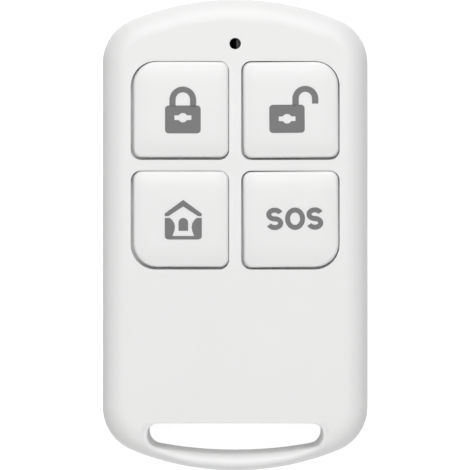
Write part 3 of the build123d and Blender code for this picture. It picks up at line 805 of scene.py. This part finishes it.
def snap_dome(key, material):
    """Snap dome of one switch: two crossed spring leaves, arched as z = rise (1 - s to the fourth).

    It rides on no body.
    """
    low, high, (x, y) = placed_box(f"{key}_switch_dome")
    reach, rise = (high[0] - low[0]) / 2, high[2] - low[2] - dome_thickness
    share = np.linspace(-1, 1, 41)
    arch = rise * (1 - share**4)
    blocks = []
    for across in (0, 1):
        loops = []
        for side, lift in ((-1, 0), (1, 0), (1, dome_thickness), (-1, dome_thickness)):
            line = np.zeros((len(share), 3))
            line[:, across] = reach * share
            line[:, 1 - across] = side * dome_leaf_width / 2
            line[:, 2] = arch + lift
            loops.append(line)
        leaf = np.stack(loops, axis=1)
        ends = [np.broadcast_to(leaf[end].mean(axis=0), (4, 3)) for end in (0, -1)]
        leaf = np.concatenate([ends[0][None], leaf, ends[1][None]])
        blocks.append(surface(leaf + (x, y, low[2]), True))
    piece = to_mesh(f"{key}_snap_dome", blocks, material, None)
    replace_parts(piece, f"{key}_switch_dome")
    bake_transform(piece)


def screw_head(centre, seat, radius):
    """Pan head seen from the back: a round rim, and a cross recess whose depth falls off at its arms' walls.

    The walls' steepness, and where they begin, are in half widths and in reaches of an arm.
    """
    side_slope, side_start, end_slope, end_start = 4, 1.15, 3.2, 1.05
    share = np.linspace(0, 1, 40)[:, None]
    angle = np.linspace(0, 2 * np.pi, 128, endpoint=False)[None, :]
    x = share * radius * np.cos(angle)
    y = share * radius * np.sin(angle)
    aside = np.minimum(np.abs(x), np.abs(y)) / screw_cross_half_width
    reach = np.maximum(np.abs(x), np.abs(y)) / screw_cross_reach
    recess = np.clip(side_slope * (side_start - aside), 0, 1) * np.clip(end_slope * (end_start - reach), 0, 1)
    z = seat - screw_head_height + screw_crown * share**4 + screw_cross_depth * recess
    return surface(np.stack([x + centre[0], y + centre[1], z], axis=-1), True)


def screw(material):
    """Case screw: head, and a shank whose radius swings with height / pitch less the turn, as a thread."""
    thread_slope, tip_power = 3.2, 0.6
    low, high, centre = placed_box("case_screw")
    radius = (high[0] - low[0]) / 2
    seat = low[2] + screw_head_height
    rim = [(radius, seat - screw_head_height + screw_crown), (radius, seat - screw_rim_break)]
    rim += [(radius - screw_rim_break, seat), (screw_core_radius, seat)]
    height = np.linspace(seat - screw_shank_overlap, high[2], 180)[:, None]
    angle = np.linspace(0, 2 * np.pi, 48, endpoint=False)[None, :]
    phase = (height / screw_pitch - angle / (2 * np.pi)) % 1
    ridge = np.clip(1 - np.abs(phase - 0.5) * thread_slope, 0, 1)
    tip = np.clip((high[2] - height) / screw_tip_length, 0, 1) ** tip_power
    reach = (screw_core_radius + screw_thread_depth * ridge) * tip
    x = centre[0] + reach * np.cos(angle)
    y = centre[1] + reach * np.sin(angle)
    shank = surface(np.stack([x, y, np.broadcast_to(height, x.shape)], axis=-1), True)
    blocks = [screw_head(centre, seat, radius), turned(rim, centre, 128), shank]
    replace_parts(to_mesh("recessed_screw", blocks, material, "case"), "case_screw")


def light_pipe(material):
    """Smoked light pipe: square flange, and a round stem with a domed end, z = top - h (r / R) squared."""
    low, high, centre = placed_box("lamp_light_pipe")
    stem = [(pipe_radius * share, high[2] - pipe_dome * share**2) for share in np.linspace(0, 1, 14)]
    foot = low[2] + pipe_flange / 2
    stem += [(pipe_radius, foot), (0, foot)]
    blocks = [turned(stem, centre, 64), block(low, (high[0], high[1], low[2] + pipe_flange))]
    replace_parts(to_mesh("smoked_light_pipe", blocks, material, "case"), "lamp_light_pipe")


def coin_cell(material):
    """Coin cell: can with a round lower edge and a crimped upper lip, and the smaller cap above it."""
    low, high, centre = placed_box("coin_cell")
    radius = (high[0] - low[0]) / 2
    turn = np.linspace(0, np.pi / 2, 7)
    lip = high[2] - cell_cap_height
    profile = [(0, low[2])]
    for angle in turn:
        inwards, upwards = cell_foot_round * (1 - np.sin(angle)), cell_foot_round * (1 - np.cos(angle))
        profile.append((radius - inwards, low[2] + upwards))
    for angle in turn:
        inwards, downwards = cell_lip_round * (1 - np.cos(angle)), cell_lip_round * (1 - np.sin(angle))
        profile.append((radius - inwards, lip - downwards))
    profile += [(cell_lip_radius, lip), (cell_seal_outer, lip - cell_seal_depth)]
    profile += [(cell_seal_inner, lip - cell_seal_depth), (cell_cap_radius, high[2] - cell_cap_break)]
    profile += [(cell_cap_radius - cell_cap_break, high[2]), (0, high[2])]
    blocks = [turned(profile, centre)]
    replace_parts(to_mesh("coin_cell_can", blocks, material, "case"), "coin_cell")


# Finishes

# Light that enters the white plastic and comes out nearby.
soft_light = {"Subsurface_Weight": 0.25, "Subsurface_Scale": 0.6 * mm, "Subsurface_Radius": (1.0, 0.96, 0.92)}


def case_white():
    """Satin white moulding with a fine eroded grain."""
    light, dark = colour(0.80, 0.80, 0.795), colour(0.775, 0.775, 0.77)
    return moulded_plastic("case_white", light, dark, 0.40, 0.10, 0.10, IOR=1.53)


def key_white():
    """Smoother satin white of the keys, wiped a little glossier than the case."""
    light, dark = colour(0.81, 0.81, 0.805), colour(0.785, 0.785, 0.78)
    return moulded_plastic("key_white", light, dark, 0.36, 0.10, 0.05, IOR=1.53, **soft_light)


def sign_ink():
    """Grey pad-printed ink, a little thinner in places."""
    finish = Finish("sign_ink", IOR=1.45)
    thin = finish.noise(5.0, 3.0)
    finish.feed("Base Color", finish.mix(thin, colour(0.140, 0.140, 0.142), colour(0.172, 0.172, 0.175)))
    finish.feed("Roughness", 0.45 + 0.2 * thin)
    return finish.material


def smoked_resin():
    """Nearly black resin with faint flow lines in its gloss, and a grey painted highlight down its right
    side.
    """
    finish = Finish("smoked_resin", IOR=1.06)
    flow = finish.noise(2.5, 2.0)
    across = finish.node("ShaderNodeSeparateXYZ", {}, {0: finish.place()}, "X")
    # Painted highlight: right of a wavy upright line the pipe is painted grey, and left of it near black
    painted_highlight_edge, painted_highlight_waver = 0.16, 0.03
    smoked = across.below(painted_highlight_edge + painted_highlight_waver * flow)
    finish.feed("Base Color", finish.mix(smoked, colour(0.08, 0.08, 0.082), colour(0.001, 0.001, 0.0011)))
    finish.feed("Roughness", 0.30 + 0.12 * flow)
    return finish.material


def screw_zinc():
    """Zinc-plated steel with rubbed streaks round the axis."""
    return drawn_metal("screw_zinc", colour(0.66, 0.66, 0.67), colour(0.42, 0.42, 0.44), 0.30, (1, 1, 5))


def solder_mask():
    """Green lacquer over copper tracks: cells of right-angled lines, lighter and higher than the ground."""
    cell_scale, lines_a_cell, track_share = 0.55, 5.0, 0.42
    finish = Finish("solder_mask", IOR=1.5, Coat_Weight=0.4)
    cells = {"distance": "MANHATTAN", "feature": "F1", "voronoi_dimensions": "2D"}
    sockets = {"Vector": finish.place(), "Scale": cell_scale, "Randomness": 0.75}
    near = finish.node("ShaderNodeTexVoronoi", cells, sockets)
    lines = near * lines_a_cell
    track = lines.maths("FRACT", lines, 0.0).below(track_share)
    copper_under = finish.mix(track, colour(0.012, 0.075, 0.036), colour(0.03, 0.16, 0.07))
    cloud = 0.25 * finish.noise(1.2, 3.0)
    finish.feed("Base Color", finish.mix(cloud, copper_under, colour(0.008, 0.05, 0.03)))
    finish.feed("Roughness", 0.28 + 0.14 * finish.noise(3.0, 2.0))
    finish.grain(track * 0.8 + 0.2 * finish.noise(9.0, 1.0), 0.35, 0.03)
    return finish.material


def tinned_copper():
    """Tinned copper track, uneven where the solder has flowed."""
    finish = Finish("tinned_copper", Metallic=1.0)
    flow = finish.noise(1.8, 3.0)
    finish.feed("Base Color", finish.mix(flow, colour(0.75, 0.48, 0.30), colour(0.78, 0.74, 0.68)))
    finish.feed("Roughness", 0.22 + 0.22 * flow)
    finish.grain(flow, 0.4, 0.02)
    return finish.material


def cell_can(centre):
    """Turned steel can: fine rings round the axis in colour, gloss and bump, and a dark seal by the cap."""
    seal_inner, seal_outer, seal_foot = 8.86, 9.22, 0.4
    finish = Finish("cell_can", Metallic=1.0)
    in_plan = finish.place(centre, (1, 1, 0))
    radius = finish.node("ShaderNodeVectorMath", {"operation": "LENGTH"}, {0: in_plan}, "Value")
    sockets = {"W": radius, "Scale": 6.0, "Detail": 3.0}
    rings = finish.node("ShaderNodeTexNoise", {"noise_dimensions": "1D"}, sockets, "Fac")
    height = finish.node("ShaderNodeSeparateXYZ", {}, {0: finish.place(centre)}, "Z")
    seal = radius.below(seal_outer) * (1 - radius.below(seal_inner)) * (1 - height.below(seal_foot))
    steel = finish.mix(rings, colour(0.56, 0.56, 0.57), colour(0.74, 0.74, 0.75))
    finish.feed("Base Color", finish.mix(seal, steel, colour(0.02, 0.02, 0.02)))
    finish.feed("Metallic", 1 - seal)
    finish.feed("Roughness", 0.20 + 0.12 * rings + 0.05 * finish.noise(0.8, 3.0))
    finish.grain(rings, 0.15, 0.01)
    return finish.material


def black_moulding(name, tone, roughness):
    """Black engineering plastic with a faint swirl and a fine grain."""
    light, dark = colour(tone, tone, 1.05 * tone), colour(0.6 * tone, 0.6 * tone, 0.62 * tone)
    return moulded_plastic(name, light, dark, roughness, 0.16, 0.12)


def chip_epoxy():
    """Moulding compound with pale filler specks and a matt, slightly pitted top."""
    finish = Finish("chip_epoxy")
    speck = 1 - finish.noise(14.0, 1.0).below(0.66)
    finish.feed("Base Color", finish.mix(speck * 0.35, colour(0.018, 0.018, 0.02), colour(0.09, 0.09, 0.095)))
    finish.feed("Roughness", 0.55 + 0.15 * finish.noise(4.0, 2.0))
    finish.grain(finish.noise(11.0, 2.0), 0.2, 0.01)
    return finish.material


def chip_glaze(name, middle, spotted):
    """Glazed ceramic chip with cloudy colour."""
    finish = Finish(name)
    cloud = finish.noise(3.5, 3.0)
    finish.feed("Base Color", finish.mix(cloud, middle, spotted))
    finish.feed("Roughness", 0.25 + 0.2 * cloud)
    return finish.material


def lens_resin():
    """Clear lens resin, slightly milky in patches."""
    finish = Finish("lens_resin", IOR=1.5)
    milk = finish.noise(2.0, 2.0)
    finish.feed("Base Color", finish.mix(milk, colour(0.80, 0.78, 0.68), colour(0.88, 0.86, 0.78)))
    finish.feed("Alpha", 0.62 + 0.2 * milk)
    finish.feed("Roughness", 0.08 + 0.08 * milk)
    return finish.material


def floor_and_sky():
    """Pale floor that keeps the shadow and shows near white, and an even sky that shows white."""
    bpy.ops.mesh.primitive_plane_add(size=floor_size, location=(0, 0, -floor_gap))
    floor = bpy.context.object
    floor.name = "floor"
    paper = Finish("floor_paper", Roughness=1.0)
    cloud = paper.noise(0.02, 2.0)
    paper.feed("Base Color", paper.mix(cloud, colour(0.44, 0.44, 0.44), colour(0.46, 0.46, 0.46)))
    sockets = {"Color": colour(1, 1, 1), "Strength": paper.shown() * floor_glow}
    glow = paper.node("ShaderNodeEmission", {}, sockets)
    lit = paper.node("ShaderNodeAddShader", {}, {0: Value(paper, paper.shader.outputs[0]), 1: glow})
    paper.links.new(lit.socket, paper.nodes["Material Output"].inputs[0])
    floor.data.materials.append(paper.material)
    world = bpy.data.worlds.new("studio")
    bpy.context.scene.world = world
    sky = Graph(world)
    level = sky_level + (1 - sky_level) * sky.shown()
    sky.links.new(level.socket, sky.nodes["Background"].inputs["Strength"])
    sky.nodes["Background"].inputs["Color"].default_value = colour(1, 1, 1)


def dress(node, material):
    """Gives a CAD node that keeps its own shape a finished material."""
    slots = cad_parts[node].material_slots
    if not slots:
        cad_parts[node].data.materials.append(material)
    for material_slot in slots:
        material_slot.material = material


bpy.context.scene.view_settings.view_transform = "Standard"
add_camera()
add_softbox("lamp_end_softbox", (0, 0.69, 0.99), width=0.9, height=1.3, watts=14.1)
add_softbox("lamp_end_low_softbox", (0, 1.05, 0.27), width=0.9, height=0.45, watts=1.9)
add_softbox("foot_end_softbox", (0, -0.98, 0.69), width=0.9, height=0.8, watts=6.0)
add_softbox("foot_end_low_softbox", (0, -1.05, 0.22), width=0.9, height=0.4, watts=0.9)
floor_and_sky()

white = case_white()
keys = key_white()
ink = sign_ink()
nickel = drawn_metal("spring_nickel", colour(0.72, 0.70, 0.66), colour(0.50, 0.48, 0.45), 0.26, (1, 8, 1))
cover_steel = drawn_metal("cover_steel", colour(0.70, 0.70, 0.70), colour(0.52, 0.52, 0.53), 0.30, (8, 1, 1))
smooth_copy("front_shell", "front_cover", white, front_edge_break, foot_cut)
smooth_copy("rear_shell", "rear_cover", white, rear_edge_break)
slot_surround(white)
for key in key_sides:
    key_cap(key, keys)

closed_lock = padlock(
    body_box=(165.0, 105.5, 200.7, 133.4),
    shackle=(169.4, 196.2, 86.6, 6.2),
    leg_feet=(107, 107),
    hole_middle=(182.9, 117.7),
    hole_half=(8.5, 4.7),
)
open_lock = padlock(
    body_box=(269.2, 104.7, 304.6, 132.8),
    shackle=(292.4, 318.4, 86.0, 6.4),
    leg_feet=(106, 103.8),
    hole_middle=(287.0, 118.7),
    hole_half=(8.4, 4.8),
)
letter_size = {"top": 207.5, "bottom": 229.9, "width": 5.0}
letters = [
    letter_s(left=266.3, right=283.2, **letter_size),
    letter_o(left=285.1, right=305.0, **letter_size),
    letter_s(left=306.5, right=323.2, **letter_size),
]
signs = {"arm": closed_lock, "disarm": open_lock, "home": house(), "sos": letters}
for key, parts in signs.items():
    sign(key, parts, ink)

screw(screw_zinc())
light_pipe(smoked_resin())
cell_low, _, cell_centre = placed_box("coin_cell")
coin_cell(cell_can((*cell_centre, cell_low[2])))

switch_black = black_moulding("switch_black", 0.05, 0.5)
holder_black = black_moulding("holder_black", 0.06, 0.45)
epoxy = chip_epoxy()
gold_lid = drawn_metal("gold_lid", colour(0.72, 0.62, 0.38), colour(0.55, 0.47, 0.30), 0.28, (1, 6, 1))
resistor_glaze = chip_glaze("resistor_glaze", colour(0.015, 0.015, 0.017), colour(0.04, 0.04, 0.045))
capacitor_ceramic = chip_glaze("capacitor_ceramic", colour(0.36, 0.23, 0.13), colour(0.46, 0.31, 0.19))
lamp_tones = (colour(0.80, 0.80, 0.77), colour(0.74, 0.74, 0.71))
lamp_white = moulded_plastic("lamp_white", *lamp_tones, 0.4, 0.1, 0.05)
nylon_tones = (colour(0.72, 0.69, 0.62), colour(0.64, 0.61, 0.54))
plunger_nylon = moulded_plastic("plunger_nylon", *nylon_tones, 0.42, 0.12, 0.06)
finishes = {
    "circuit_board": solder_mask(),
    "antenna_track": tinned_copper(),
    "switch_leads": nickel,
    "battery_holder": holder_black,
    "positive_contact": nickel,
    "negative_contact": nickel,
    "encoder_chip": epoxy,
    "encoder_chip_leads": nickel,
    "rf_transistor": epoxy,
    "rf_transistor_leads": nickel,
    "saw_resonator": gold_lid,
    "chip_resistors": resistor_glaze,
    "chip_capacitors": capacitor_ceramic,
    "status_lamp_base": lamp_white,
    "status_lamp_lens": lens_resin(),
}
for node, material in finishes.items():
    dress(node, material)
for key in key_sides:
    dress(f"{key}_switch_base", switch_black)
    dress(f"{key}_switch_cover", cover_steel)
    snap_dome(key, nickel)
    dress(f"{key}_switch_plunger", plunger_nylon)
